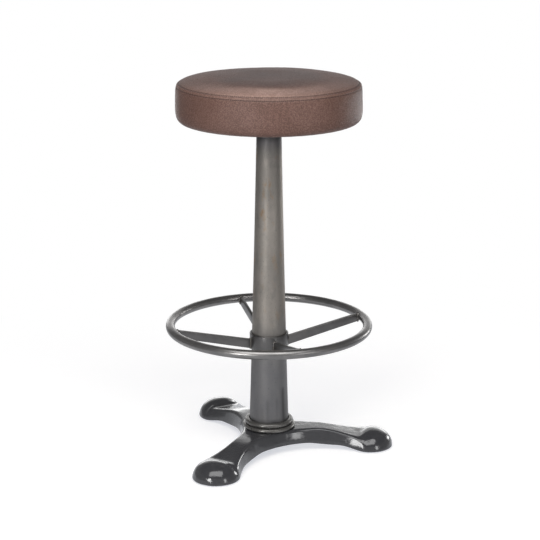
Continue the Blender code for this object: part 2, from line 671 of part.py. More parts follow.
def main():
    remove_scene_objects()
    shop = Workshop()
    make_base(shop)
    make_tie_bolt(shop)
    make_column(shop)
    make_footrest(shop)
    make_swivel(shop)
    board, cover = make_cushion(shop)
    make_seat_plate(shop, board, cover)


main()
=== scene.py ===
"""Bar stool: leather cushion, waxed steel column and footrest, gloss black cast base."""

import math
import random

import bmesh
import bpy
from mathutils import Matrix, Vector, noise


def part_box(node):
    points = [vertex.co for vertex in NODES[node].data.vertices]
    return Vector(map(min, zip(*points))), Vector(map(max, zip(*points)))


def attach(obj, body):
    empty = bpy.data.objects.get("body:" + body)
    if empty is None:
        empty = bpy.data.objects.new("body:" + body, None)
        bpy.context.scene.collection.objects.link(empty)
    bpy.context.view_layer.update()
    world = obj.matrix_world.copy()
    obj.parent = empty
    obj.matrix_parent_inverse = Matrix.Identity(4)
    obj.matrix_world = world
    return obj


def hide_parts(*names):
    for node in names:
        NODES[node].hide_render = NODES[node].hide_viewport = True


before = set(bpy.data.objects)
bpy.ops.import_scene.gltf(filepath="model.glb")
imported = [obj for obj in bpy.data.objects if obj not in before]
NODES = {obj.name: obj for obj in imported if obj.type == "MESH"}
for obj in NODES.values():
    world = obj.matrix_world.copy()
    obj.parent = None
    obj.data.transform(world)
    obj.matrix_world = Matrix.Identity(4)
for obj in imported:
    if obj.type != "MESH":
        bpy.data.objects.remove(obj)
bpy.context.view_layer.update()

SCENE = bpy.context.scene
TAU = math.tau

# Camera, fitted to the photograph
IMAGE_SIZE = 540
FOCAL_PIXELS = 1741.7
SENSOR_WIDTH = 36.0
CAMERA_PLACE = (0.002, -3.307, 1.278)
CAMERA_TILT = math.radians(74.616)

# Studio: brightness as shares of white, places and sizes in metres
BACKDROP = 3.2
BACKDROP_MIDDLE = (0.1, 2.0, 0.75)
BACKDROP_HALF = (1.9, 0.75)
BACK_WALL = 0.30
LEFT_WALL = 0.26
RIGHT_WALL = 0.34
FRONT_WALL = 0.50
CEILING = 0.16
AMBIENT = 0.18
FLOOR_HALF = 9.0
FLOOR_BRIGHT = (0.82, 0.835, 0.87, 1)
FLOOR_DIM = (0.16, 0.165, 0.175, 1)
FLOOR_GLOW = 0.06
FLOOR_BOUNCE = 0.6
FLOOR_SHADE = (0.62, 0.59, 0.53, 1)
FLOOR_LIGHT = (0.570, 0.585, 0.630, 1)
FLOOR_SHADOW_REACH = (0.45, 1.1)
STOOL_MIDDLE = (0, 0, 0.40)
SEAT_MIDDLE = (0, 0, 0.70)

# Cushion
SEAM_UPPER_RADIUS = 0.1735
SEAM_UPPER_DROP = 0.0115
SEAM_LOWER_RADIUS = 0.1785
SEAM_LOWER_DROP = 0.0175
SEAM_GROOVE = 0.0008
CROWN_POWER = 7.0
CROWN_EDGE = 0.1690
CROWN_FREE = 0.160
CROWN_BANDS = 34
SIDE_BANDS = 12
BELLY_DROP = 0.058
BOTTOM_ROLL = 0.014
BOTTOM_DRAW_IN = 0.0020
COVER_STEPS = 224
SWELL_FRAMES = 16
SWELL_PRESSURE = 4.0
SWELL_ROOM = 0.0016
SWELL_CAP = 0.0030
PUCKER_LIFT = 0.0011
WAVE_LIFT = 0.0009
PLEAT_LIFT = 0.0007
PLEAT_COUNT = 46
PLEAT_INNER = (0.1450, 0.1510)
PLEAT_OUTER = (0.1700, 0.1610)
LOOSE_ANGLE = -63
LOOSE_CREASE = 0.00042
FAINT_CREASE = 0.00022
CREASE_WIDTH = 0.0017
# Radii where the top's dark crown fades (scuffs and painted shade) and where the lighter edge begins (wear
# and painted light)
DARK_CROWN = (0.142, 0.086)
WORN_AND_LIT_EDGE = (0.112, 0.146)
STITCH_PITCH = 0.0038
THREAD_RADIUS = 0.00034
JOIN_ANGLE = -12.0

# Levels that follow from the solids
SEAT_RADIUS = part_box("seat_side_band")[1].x
SEAT_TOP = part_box("seat_top_panel")[1].z
SEAT_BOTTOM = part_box("seat_side_band")[0].z
SEAM_UPPER = SEAT_TOP - SEAM_UPPER_DROP
SEAM_LOWER = SEAT_TOP - SEAM_LOWER_DROP
ROLL_RADIUS = SEAT_RADIUS - BOTTOM_DRAW_IN - BOTTOM_ROLL

# Marks of each row of stitches: radius, level, width, share of painted shade in the groove and darkness of
# the needle marks
SEAM_ROWS = (
    (SEAM_UPPER_RADIUS, SEAM_UPPER, 0.0023, 0.30, 0.82),
    (SEAM_LOWER_RADIUS, SEAM_LOWER, 0.0015, 0.34, 0.88),
)

# Column
COLUMN_WALL = 0.003
COLUMN_SLICES = 90
FLANGE_LOWER_BEAD = 0.0080
FLANGE_UPPER_RADIUS = 0.0485
TURNED_STEPS = 128
RUST_LEVELS = (0.30, 0.46)
# Levels of the painted seat shadow on the column's top and of the painted shade low down
SEAT_SHADOW_LEVELS = (0.585, 0.640)
LOW_SHADE_LEVELS = (0.30, 0.16)

# Drips down the column: angle, top, bottom, half width and strength
COLUMN_DRIPS = (
    (-94, 0.100, 0.052, 0.0030, 0.20),
    (-66, 0.110, 0.075, 0.0025, 0.15),
    (-110, 0.085, 0.050, 0.004, 0.12),
    (-42, 0.125, 0.062, 0.0040, 0.5),
    (95, 0.120, 0.060, 0.004, 0.4),
    (170, 0.1, 0.05, 0.004, 0.4),
)

# Footrest
RING_SIDES = 24
RING_STEPS = 192
COLLAR_WALL = 0.0035
COLLAR_EDGE = 0.0009
SPOKE_LIFT = 0.0111
SPOKE_ROOT_DEPTH = 0.0195
SPOKE_TIP_DEPTH = 0.0165
SPOKE_THICKNESS = 0.006
SPOKE_EDGE = 0.0011
WELD_RADIUS = 0.0019
WELD_HALF_WIDTH = 0.0033

# Colours of the finishes: main, cloud and speck of the mottling, then what lies over it
LEATHER_BROWNS = ((0.184, 0.101, 0.080, 1), (0.208, 0.117, 0.094, 1), (0.148, 0.080, 0.063, 1))
# Lighter edge of the cushion: wear, with painted light that is strongest at the front
LEATHER_WORN_AND_LIT = (0.530, 0.352, 0.295, 1)
# Dark crown: scuffs, with painted shade on the top and round its rim away from the front
LEATHER_CROWN_SCUFF_AND_SHADE = (0.057, 0.040, 0.038, 1)
LEATHER_VALLEY = (0.34, 0.32, 0.31, 1)
# Painted shade in the grooves of the seams
SEAM_GROOVE_SHADE = (0.030, 0.015, 0.012, 1)
NEEDLE_MARK = (0.016, 0.008, 0.007, 1)
JOIN_LINE = (0.020, 0.010, 0.008, 1)
THREAD_BROWNS = ((0.085, 0.045, 0.037, 1), (0.115, 0.062, 0.051, 1), (0.050, 0.026, 0.022, 1))
COLUMN_GREYS = ((0.310, 0.284, 0.254, 1), (0.262, 0.243, 0.221, 1), (0.225, 0.209, 0.190, 1))
COLUMN_PATINA = (0.165, 0.158, 0.150, 1)
COLUMN_RUST = (0.330, 0.220, 0.130, 1)
# Painted shadow of the seat on the column's top
COLUMN_SEAT_SHADOW = (0.080, 0.080, 0.090, 1)
# Painted shade, bluish, low on the column
COLUMN_LOW_SHADE = (0.147, 0.149, 0.159, 1)
# Stains and grime, and painted shade under the column's rim
COLUMN_STAIN_AND_SHADE = (0.030, 0.028, 0.027, 1)
COLUMN_PIT = (0.070, 0.066, 0.062, 1)
FOOTREST_TINTS = ((1.0, 0.965, 0.945), (0.79, 0.77, 0.76), (0.85, 0.825, 0.81))
FOOTREST_RUB = (0.420, 0.405, 0.390, 1)
FLANGE_BROWNS = ((0.145, 0.140, 0.133, 1), (0.112, 0.107, 0.101, 1), (0.084, 0.079, 0.074, 1))
FLANGE_RUB = (0.24, 0.23, 0.215, 1)
WELD_GREYS = ((0.230, 0.220, 0.210, 1), (0.120, 0.108, 0.095, 1), (0.060, 0.052, 0.045, 1))
ENAMEL_BLACKS = ((0.042, 0.042, 0.046, 1), (0.036, 0.036, 0.040, 1), (0.050, 0.050, 0.054, 1))


def smoothstep(start, end, value):
    share = min(max((value - start) / (end - start), 0.0), 1.0)
    return share * share * (3 - 2 * share)


def blend(first, second, share):
    return first + (second - first) * share


def grey(level):
    return (level, level, level, 1.0)


# Shader node helpers

def put(tree, kind, settings=None, **values):
    """Adds a node. A value is a number, a colour or the output of another node."""
    node = tree.nodes.new(kind)
    for name, setting in (settings or {}).items():
        setattr(node, name, setting)
    for name, value in values.items():
        feed(tree, node.inputs[name.replace("_", " ")], value)
    return node


def feed(tree, socket, value):
    if isinstance(value, bpy.types.NodeSocket):
        tree.links.new(value, socket)
    else:
        socket.default_value = value


def calc(tree, operation, first, second=0.0):
    node = put(tree, "ShaderNodeMath", {"operation": operation})
    feed(tree, node.inputs[0], first)
    feed(tree, node.inputs[1], second)
    return node.outputs[0]


def times(tree, first, second):
    return calc(tree, "MULTIPLY", first, second)


def plus(tree, first, second):
    return calc(tree, "ADD", first, second)


def minus(tree, first, second):
    return calc(tree, "SUBTRACT", first, second)


def mixed(tree, share, first, second, kind="MIX"):
    node = put(tree, "ShaderNodeMix", {"data_type": "RGBA", "blend_type": kind})
    feed(tree, node.inputs[0], share)
    feed(tree, node.inputs[6], first)
    feed(tree, node.inputs[7], second)
    return node.outputs[2]


def ranged(tree, value, low, high, to_low=0.0, to_high=1.0):
    node = put(tree, "ShaderNodeMapRange", {"interpolation_type": "SMOOTHSTEP"})
    for socket, number in zip(node.inputs[:5], (value, low, high, to_low, to_high)):
        feed(tree, socket, number)
    return node.outputs[0]


def clouds(tree, where, scale, detail=4.0, roughness=0.55):
    node = put(tree, "ShaderNodeTexNoise", Vector=where, Scale=scale, Detail=detail, Roughness=roughness)
    return node.outputs["Fac"]


def length_of(tree, vector):
    node = put(tree, "ShaderNodeVectorMath", {"operation": "LENGTH"})
    feed(tree, node.inputs[0], vector)
    return node.outputs["Value"]


def stretched(tree, where, scale):
    return put(tree, "ShaderNodeMapping", Vector=where, Scale=scale).outputs["Vector"]


def new_group(name, inputs, outputs):
    """Node group with named sockets, and the nodes that hold its inputs and outputs."""
    group = bpy.data.node_groups.new(name, "ShaderNodeTree")
    for direction, sockets in (("INPUT", inputs), ("OUTPUT", outputs)):
        for label, kind in sockets.items():
            group.interface.new_socket(label, in_out=direction, socket_type=f"NodeSocket{kind}")
    return group, group.nodes.new("NodeGroupInput").outputs, group.nodes.new("NodeGroupOutput").inputs


def mottling_group():
    """Cloudy colour of a waxed, cast or moulded surface, with fine specks."""
    group, given, made = new_group(
        "surface_mottling",
        {"Place": "Vector", "Scale": "Float", "Main": "Color", "Cloud": "Color", "Speck": "Color"},
        {"Color": "Color", "Mask": "Float"},
    )
    broad = clouds(group, given["Place"], given["Scale"], 5.0)
    cloud = ranged(group, broad, 0.38, 0.66)
    fine = clouds(group, given["Place"], times(group, given["Scale"], 14.0), 3.0)
    speck = ranged(group, fine, 0.60, 0.74)
    colour = mixed(group, cloud, given["Main"], given["Cloud"])
    feed(group, made["Color"], mixed(group, speck, colour, given["Speck"]))
    feed(group, made["Mask"], cloud)
    return group


def edge_rub_group():
    """Mask of the rubbed outer edges of a piece, broken up by a noise."""
    group, given, made = new_group(
        "edge_rub", {"Place": "Vector", "Low": "Float", "High": "Float"}, {"Mask": "Float"}
    )
    point = put(group, "ShaderNodeNewGeometry").outputs["Pointiness"]
    edge = ranged(group, point, given["Low"], given["High"])
    broken = ranged(group, clouds(group, given["Place"], 60.0, 3.0), 0.25, 0.5)
    feed(group, made["Mask"], times(group, edge, broken))
    return group


MOTTLING = mottling_group()
EDGE_RUB = edge_rub_group()


class Finish:
    """A material under construction: its tree, its shader and its Object coordinates."""

    def __init__(self, name):
        self.material = bpy.data.materials.new(name)
        self.material.use_nodes = True
        self.tree = self.material.node_tree
        self.shader = self.tree.nodes["Principled BSDF"]
        self.place = put(self.tree, "ShaderNodeTexCoord").outputs["Object"]

    def set(self, **values):
        for name, value in values.items():
            feed(self.tree, self.shader.inputs[name.replace("_", " ")], value)

    def mottled(self, scale, main, cloud, speck, place=None):
        node = put(self.tree, "ShaderNodeGroup", {"node_tree": MOTTLING})
        names = ("Place", "Scale", "Main", "Cloud", "Speck")
        for name, value in zip(names, (place or self.place, scale, main, cloud, speck)):
            feed(self.tree, node.inputs[name], value)
        return node.outputs

    def rubbed(self, low, high):
        group = {"node_tree": EDGE_RUB}
        node = put(self.tree, "ShaderNodeGroup", group, Place=self.place, Low=low, High=high)
        return node.outputs["Mask"]

    def uneven(self, mask, smoothest, roughest):
        """Roughness that follows the mottling."""
        return ranged(self.tree, mask, 0.0, 1.0, smoothest, roughest)

    def painted(self, name):
        """Value that the piece's own points carry."""
        return put(self.tree, "ShaderNodeAttribute", {"attribute_name": name}).outputs["Fac"]

    def bumped(self, height, distance, strength=1.0, under=None):
        node = put(self.tree, "ShaderNodeBump", Height=height, Distance=distance, Strength=strength)
        if under:
            feed(self.tree, node.inputs["Normal"], under)
        return node.outputs["Normal"]


def seam_group():
    """Marks of a row of stitches round the column's axis: dashes along it and the draw beside it."""
    group, given, made = new_group(
        "seam_marks",
        {"Place": "Vector", "Radius": "Float", "Level": "Float", "Count": "Float", "Width": "Float"},
        {"Dashes": "Float", "Groove": "Float", "Puckers": "Float"},
    )
    split = put(group, "ShaderNodeSeparateXYZ", Vector=given["Place"]).outputs
    flat = put(group, "ShaderNodeCombineXYZ", X=split["X"], Y=split["Y"]).outputs[0]
    across = minus(group, length_of(group, flat), given["Radius"])
    above = minus(group, split["Z"], given["Level"])
    squared = plus(group, times(group, across, across), times(group, above, above))
    away = calc(group, "SQRT", squared)
    angle = calc(group, "ARCTAN2", split["Y"], split["X"])
    wave = calc(group, "SINE", times(group, angle, given["Count"]))
    near = ranged(group, away, times(group, given["Width"], 0.4), given["Width"], 1.0, 0.0)
    feed(group, made["Groove"], near)
    feed(group, made["Dashes"], times(group, near, ranged(group, wave, -0.35, 0.35)))
    beside = ranged(group, away, 0.0010, 0.0060, 1.0, 0.0)
    slow = calc(group, "SINE", times(group, angle, times(group, given["Count"], 0.5)))
    feed(group, made["Puckers"], times(group, beside, slow))
    return group


SEAM_MARKS = seam_group()


def side_join(tree, place):
    """Mask of the upright lines where the ends of the side band meet."""
    split = put(tree, "ShaderNodeSeparateXYZ", Vector=place).outputs
    turn = math.radians(JOIN_ANGLE)
    across = minus(tree, times(tree, split["X"], math.sin(turn)), times(tree, split["Y"], math.cos(turn)))
    line = ranged(tree, calc(tree, "ABSOLUTE", across), 0.0004, 0.0012, 1.0, 0.0)
    return times(tree, line, ranged(tree, split["Z"], SEAM_UPPER + 0.0004, SEAM_UPPER - 0.0008))


def leather_finish():
    """Aged brown leather: pebbled grain, a crown darkened by scuffs and painted shade, an edge lightened by
    wear and painted light, painted shade and needle marks in the seams.
    """
    made = Finish("aged_brown_leather")
    tree = made.tree
    base = made.mottled(16.0, *LEATHER_BROWNS)
    pores = put(tree, "ShaderNodeTexVoronoi", {"feature": "SMOOTH_F1"}, Vector=made.place, Scale=520.0)
    feed(tree, pores.inputs["Smoothness"], 0.5)
    warped = clouds(tree, made.place, 330.0, 5.0, 0.62)
    pebble = plus(tree, times(tree, pores.outputs["Distance"], 0.7), times(tree, warped, 0.6))
    valley = ranged(tree, pebble, 0.42, 0.74)
    patchy = ranged(tree, clouds(tree, made.place, 24.0, 4.0), 0.3, 0.7, 0.70, 1.0)
    # Wear and painted light: the lighter edge, strongest at the front.
    worn_and_lit = times(tree, made.painted("worn_and_lit"), patchy)
    colour = mixed(tree, worn_and_lit, base["Color"], LEATHER_WORN_AND_LIT)
    # Scuffs and painted shade darken the crown.
    crown = made.painted("crown")
    scuff_and_shade = ranged(tree, clouds(tree, made.place, 11.0, 4.0), 0.30, 0.70, 0.50, 0.72)
    colour = mixed(tree, times(tree, crown, scuff_and_shade), colour, LEATHER_CROWN_SCUFF_AND_SHADE)
    grain = minus(tree, 0.62, times(tree, crown, 0.30))
    dark = mixed(tree, 1.0, colour, LEATHER_VALLEY, "MULTIPLY")
    colour = mixed(tree, times(tree, valley, grain), colour, dark)
    bends = []
    for radius, level, width, groove_shade, dash in SEAM_ROWS:
        node = put(tree, "ShaderNodeGroup", {"node_tree": SEAM_MARKS}, Place=made.place, Radius=radius)
        feed(tree, node.inputs["Level"], level)
        feed(tree, node.inputs["Count"], float(round(TAU * radius / STITCH_PITCH)))
        feed(tree, node.inputs["Width"], width)
        marks = node.outputs
        # Painted shade in each seam's groove.
        colour = mixed(tree, times(tree, marks["Groove"], groove_shade), colour, SEAM_GROOVE_SHADE)
        colour = mixed(tree, times(tree, marks["Dashes"], dash), colour, NEEDLE_MARK)
        bends.append(minus(tree, times(tree, marks["Puckers"], 0.5), marks["Dashes"]))
    join = side_join(tree, made.place)
    colour = mixed(tree, times(tree, join, 0.75), colour, JOIN_LINE)
    made.set(Base_Color=colour, Specular_IOR_Level=0.30)
    rough = ranged(tree, pebble, 0.3, 0.8, 0.36, 0.50)
    made.set(Roughness=plus(tree, rough, times(tree, crown, -0.03)))
    creases = made.bumped(clouds(tree, made.place, 70.0, 6.0, 0.6), 0.0012, 0.35)
    sewn = made.bumped(minus(tree, plus(tree, *bends), join), 0.0005, 0.6, creases)
    made.set(Normal=made.bumped(pebble, 0.0007, 0.85, sewn))
    return made.material


def thread_finish():
    """Twisted thread, darkened with wax."""
    made = Finish("waxed_thread")
    base = made.mottled(300.0, *THREAD_BROWNS)
    twist = clouds(made.tree, stretched(made.tree, made.place, (1.0, 1.0, 3.0)), 1500.0, 2.0)
    made.set(Base_Color=base["Color"], Roughness=0.65, Normal=made.bumped(twist, 0.0002, 0.5))
    return made.material


def column_finish():
    """Bare drawn steel under wax: upright streaks, cloudy patina, small pits and wisps of brown rust, with
    painted shadow under the seat and painted shade low down and under the rim.
    """
    made = Finish("waxed_column_steel")
    tree = made.tree
    height = put(tree, "ShaderNodeSeparateXYZ", Vector=made.place).outputs["Z"]
    base = made.mottled(30.0, *COLUMN_GREYS, stretched(tree, made.place, (1.0, 1.0, 0.30)))
    patina = clouds(tree, stretched(tree, made.place, (1.0, 1.0, 0.6)), 34.0, 7.0, 0.66)
    patina = times(tree, ranged(tree, patina, 0.46, 0.68), 0.45)
    colour = mixed(tree, patina, base["Color"], COLUMN_PATINA)
    wisp = clouds(tree, stretched(tree, made.place, (1.0, 1.0, 0.42)), 46.0, 7.0, 0.68)
    patch = ranged(tree, clouds(tree, made.place, 9.0, 2.0), 0.36, 0.54)
    rust = times(tree, ranged(tree, wisp, 0.54, 0.70), patch)
    high = ranged(tree, height, *RUST_LEVELS)
    rust = times(tree, rust, ranged(tree, high, 0.0, 1.0, 0.25, 0.90))
    colour = mixed(tree, rust, colour, COLUMN_RUST)
    # Painted shadow of the seat on the column's top.
    seat_shadow = ranged(tree, height, *SEAT_SHADOW_LEVELS, 0.0, 0.78)
    colour = mixed(tree, seat_shadow, colour, COLUMN_SEAT_SHADOW)
    # Painted shade, bluish, low on the column.
    low_shade = ranged(tree, height, *LOW_SHADE_LEVELS, 0.0, 0.78)
    colour = mixed(tree, low_shade, colour, COLUMN_LOW_SHADE)
    # Stains and grime, with painted shade under the rim.
    colour = mixed(tree, made.painted("stain_and_shade"), colour, COLUMN_STAIN_AND_SHADE)
    pits = ranged(tree, clouds(tree, made.place, 420.0, 3.0), 0.62, 0.72)
    colour = mixed(tree, times(tree, pits, 0.45), colour, COLUMN_PIT)
    made.set(Base_Color=colour, Metallic=0.9)
    made.set(Roughness=plus(tree, made.uneven(base["Mask"], 0.52, 0.60), times(tree, rust, 0.20)))
    lines = clouds(tree, stretched(tree, made.place, (1.0, 1.0, 0.02)), 380.0, 3.0)
    made.set(Normal=made.bumped(minus(tree, lines, times(tree, pits, 0.8)), 0.00005, 0.35))
    return made.material


def footrest_finish(name, level):
    """Dark waxed steel, smooth, rubbed brighter along its edges."""
    made = Finish(name)
    tree = made.tree
    shades = [(level * red, level * green, level * blue, 1) for red, green, blue in FOOTREST_TINTS]
    base = made.mottled(22.0, *shades)
    rub = times(tree, made.rubbed(0.60, 0.75), 0.35)
    colour = mixed(tree, rub, base["Color"], FOOTREST_RUB)
    made.set(Base_Color=colour, Metallic=0.9, Roughness=made.uneven(base["Mask"], 0.30, 0.36))
    made.set(Normal=made.bumped(clouds(tree, made.place, 25.0, 1.0), 0.0006, 0.04))
    return made.material


def flange_finish():
    """Browned turned steel with fine tool rings."""
    made = Finish("browned_flange_steel")
    tree = made.tree
    base = made.mottled(60.0, *FLANGE_BROWNS)
    rub = times(tree, made.rubbed(0.52, 0.60), 0.25)
    colour = mixed(tree, rub, base["Color"], FLANGE_RUB)
    made.set(Base_Color=colour, Metallic=0.6, Roughness=made.uneven(base["Mask"], 0.26, 0.36))
    rings = clouds(tree, stretched(tree, made.place, (0.3, 0.3, 12.0)), 160.0, 3.0)
    made.set(Normal=made.bumped(rings, 0.00008, 0.3))
    return made.material


def weld_finish():
    """Bare weld, partly burnt brown."""
    made = Finish("weld_metal")
    base = made.mottled(220.0, *WELD_GREYS)
    made.set(Base_Color=base["Color"], Metallic=0.95, Roughness=made.uneven(base["Mask"], 0.22, 0.40))
    made.set(Normal=made.bumped(clouds(made.tree, made.place, 700.0, 3.0), 0.0002, 0.6))
    return made.material


def enamel_finish():
    """Gloss black enamel that follows the slightly uneven skin of the casting."""
    made = Finish("gloss_black_enamel")
    tree = made.tree
    base = made.mottled(40.0, *ENAMEL_BLACKS)
    made.set(Base_Color=base["Color"], Roughness=made.uneven(base["Mask"], 0.10, 0.16))
    made.set(Coat_Weight=0.40, Coat_Roughness=0.04)
    waves = made.bumped(clouds(tree, made.place, 42.0, 2.0), 0.0022, 0.42)
    skin = made.bumped(clouds(tree, made.place, 120.0, 5.0, 0.62), 0.0010, 0.34, waves)
    made.set(Normal=made.bumped(clouds(tree, made.place, 520.0, 3.0), 0.00014, 0.25, skin))
    return made.material


def plain_finish(name, scale, shades, rough, metal=0.0, grain=(600.0, 0.0002), stretch=(1, 1, 1)):
    """Finish of a piece that hardly shows: mottled colour, uneven gloss and a fine grain."""
    made = Finish(name)
    tree = made.tree
    place = stretched(tree, made.place, stretch)
    base = made.mottled(scale, *[(*shade, 1) for shade in shades], place)
    made.set(Base_Color=base["Color"], Metallic=metal)
    made.set(Roughness=made.uneven(base["Mask"], rough - 0.06, rough + 0.06))
    made.set(Normal=made.bumped(clouds(tree, place, grain[0], 3.0), grain[1], 0.6))
    return made.material


LEATHER = leather_finish()
THREAD = thread_finish()
COLUMN_STEEL = column_finish()
RING_STEEL = footrest_finish("dark_ring_steel", 0.240)
BAR_STEEL = footrest_finish("dark_bar_steel", 0.150)
FLANGE_STEEL = flange_finish()
WELD_METAL = weld_finish()
ENAMEL = enamel_finish()
ZINC = plain_finish(
    "bright_zinc", 90.0, ((0.42, 0.43, 0.44), (0.36, 0.37, 0.37), (0.50, 0.50, 0.48)),
    rough=0.34, metal=1.0, grain=(900.0, 0.0001),
)
BRONZE = plain_finish(
    "bush_bronze", 120.0, ((0.36, 0.20, 0.07), (0.30, 0.16, 0.05), (0.22, 0.12, 0.04)),
    rough=0.38, metal=1.0,
)
PLYWOOD = plain_finish(
    "birch_plywood", 30.0, ((0.42, 0.27, 0.13), (0.36, 0.22, 0.10), (0.26, 0.15, 0.07)),
    rough=0.70, grain=(200.0, 0.0003), stretch=(1.0, 8.0, 8.0),
)
FOAM = plain_finish(
    "cut_foam", 80.0, ((0.66, 0.58, 0.38), (0.60, 0.52, 0.34), (0.50, 0.42, 0.27)),
    rough=0.9, grain=(900.0, 0.001),
)
CLOTH = plain_finish(
    "black_felt", 240.0, ((0.012, 0.012, 0.013), (0.020, 0.020, 0.021), (0.034, 0.034, 0.035)),
    rough=0.92, grain=(2200.0, 0.0006),
)
RUBBER = plain_finish(
    "glide_rubber", 120.0, ((0.010, 0.010, 0.010), (0.016, 0.016, 0.016), (0.024, 0.024, 0.023)),
    rough=0.78, grain=(800.0, 0.0002),
)


# Pieces

def finished(name, builder, body, material, replaced=(), sharp=None):
    """Turns a mesh under construction into a piece that rides on a body."""
    mesh = bpy.data.meshes.new(name)
    builder.to_mesh(mesh)
    builder.free()
    mesh.materials.append(material)
    mesh.shade_smooth()
    if sharp:
        mesh.set_sharp_from_angle(angle=math.radians(sharp))
    piece = bpy.data.objects.new(name, mesh)
    SCENE.collection.objects.link(piece)
    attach(piece, body)
    if replaced:
        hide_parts(*replaced)
    return piece


def softened(piece, width, segments):
    """Rounds the sharp edges of a piece."""
    bevel = piece.modifiers.new("Edges", "BEVEL")
    bevel.width = width
    bevel.segments = segments
    bevel.limit_method = "ANGLE"
    bevel.angle_limit = math.radians(30)
    bevel.harden_normals = False


def smoothed(piece, levels):
    surface = piece.modifiers.new("Smooth", "SUBSURF")
    surface.levels = levels
    surface.render_levels = levels


def paint(piece, name, values):
    attribute = piece.data.attributes.new(name, "FLOAT", "POINT")
    attribute.data.foreach_set("value", values)


def turned(profile, steps, closed=True):
    """Profile of radius and height, spun about the column's axis."""
    builder = bmesh.new()
    points = [builder.verts.new((radius, 0, level)) for radius, level in profile]
    edges = [builder.edges.new(pair) for pair in zip(points, points[1:])]
    if closed:
        edges.append(builder.edges.new((points[-1], points[0])))
    bmesh.ops.spin(
        builder, geom=points + edges, cent=(0, 0, 0), axis=(0, 0, 1), angle=TAU, steps=steps, use_merge=True
    )
    bmesh.ops.remove_doubles(builder, verts=builder.verts, dist=0.00001)
    bmesh.ops.recalc_face_normals(builder, faces=builder.faces)
    return builder


def outer_radii(node):
    """Greatest radius of a turned CAD node at each of its levels, from the top down."""
    radii = {}
    for point in NODES[node].data.vertices:
        level = round(point.co.z, 5)
        radii[level] = max(radii.get(level, 0.0), math.hypot(point.co.x, point.co.y))
    return sorted(radii.items(), reverse=True)


# Cushion

def crown_height(radius):
    """Level of the cushion's top, which is flat in the middle and falls to the upper seam."""
    return SEAT_TOP - SEAM_UPPER_DROP * (radius / SEAM_UPPER_RADIUS) ** CROWN_POWER


def side_radius(level):
    """Radius of the cushion's side, which is greatest at the belly."""
    belly = SEAT_TOP - BELLY_DROP
    if level > belly:
        share = (level - belly) / (SEAM_LOWER - belly)
        return SEAT_RADIUS - (SEAT_RADIUS - SEAM_LOWER_RADIUS) * share ** 2
    share = (belly - level) / (belly - SEAT_BOTTOM - BOTTOM_ROLL)
    return SEAT_RADIUS - BOTTOM_DRAW_IN * share ** 2


def groove(distance):
    """Depth to which a row of stitches draws the leather in, at a distance from it."""
    return SEAM_GROOVE * math.exp(-((distance / 0.0011) ** 2))


def cover_profile():
    """Radius, height and freedom to swell of each ring of the cover, from the axis to the underside."""
    rings = []
    for band in range(CROWN_BANDS + 1):
        radius = CROWN_EDGE * band / CROWN_BANDS
        room = SWELL_ROOM * (1 - (radius / CROWN_EDGE) ** 4)
        rings.append((radius, crown_height(radius) - room, 1.0 if radius < CROWN_FREE else 0.0))
    for radius in (0.1704, 0.1716, 0.1724, 0.1730, 0.1735):
        rings.append((radius, crown_height(radius) - groove(SEAM_UPPER_RADIUS - radius), 0.0))
    strip = Vector((SEAM_LOWER_RADIUS - SEAM_UPPER_RADIUS, SEAM_LOWER - SEAM_UPPER))
    outward = Vector((-strip.y, strip.x)).normalized()
    for share in (0.08, 0.18, 0.32, 0.5, 0.68, 0.82, 0.92, 1.0):
        near = min(share, 1 - share) * strip.length
        lift = 0.0007 * math.sin(math.pi * share) - groove(near)
        point = Vector((SEAM_UPPER_RADIUS, SEAM_UPPER)) + strip * share + outward * lift
        rings.append((point.x, point.y, 0.0))
    for drop in (0.0005, 0.0011, 0.0019, 0.0030, 0.0045):
        level = SEAM_LOWER - drop
        rings.append((side_radius(level) - groove(drop), level, 0.0))
    start = SEAM_LOWER - 0.0075
    end = SEAT_BOTTOM + BOTTOM_ROLL
    for band in range(SIDE_BANDS + 1):
        share = band / SIDE_BANDS
        level = blend(start, end, share)
        room = SWELL_ROOM * 0.6 * math.sin(math.pi * share)
        rings.append((side_radius(level) - room, level, 1.0 if 0 < band < SIDE_BANDS else 0.0))
    for degrees in (15, 30, 45, 60, 75, 90):
        angle = math.radians(degrees)
        radius = ROLL_RADIUS + BOTTOM_ROLL * math.cos(angle)
        rings.append((radius, end - BOTTOM_ROLL * math.sin(angle), 0.0))
    for radius in (0.161, 0.157, 0.153, 0.149, 0.145, 0.120, 0.060, 0.0):
        rings.append((radius, SEAT_BOTTOM, 0.0))
    return rings


def let_swell(cover, free):
    """Lets the leather swell between its sewn edges, as on a stuffed cushion."""
    held = cover.vertex_groups.new(name="sewn")
    for index, freedom in enumerate(free):
        held.add([index], 1.0 - freedom, "REPLACE")
    cloth = cover.modifiers.new("Swell", "CLOTH")
    cloth.settings.quality = 6
    cloth.settings.mass = 0.3
    cloth.settings.tension_stiffness = 25.0
    cloth.settings.compression_stiffness = 25.0
    cloth.settings.bending_stiffness = 2.0
    cloth.settings.air_damping = 3.0
    cloth.settings.use_pressure = True
    cloth.settings.uniform_pressure_force = SWELL_PRESSURE
    cloth.settings.effector_weights.gravity = 0.0
    cloth.settings.vertex_group_mass = held.name
    cloth.collision_settings.use_collision = False
    cloth.point_cache.frame_start = 1
    cloth.point_cache.frame_end = SWELL_FRAMES
    for number in range(1, SWELL_FRAMES + 1):
        SCENE.frame_set(number)
    swollen = cover.evaluated_get(bpy.context.evaluated_depsgraph_get()).data
    moved = [point.co.copy() for point in swollen.vertices]
    cover.modifiers.remove(cloth)
    SCENE.frame_set(1)
    for point, place in zip(cover.data.vertices, moved):
        step = place - point.co
        if step.length > SWELL_CAP:
            step *= SWELL_CAP / step.length
        point.co += step
    cover.vertex_groups.remove(held)


def angle_from(angle, middle):
    """Signed turn from one angle to another, half a turn at most."""
    return (angle - middle + math.pi) % TAU - math.pi


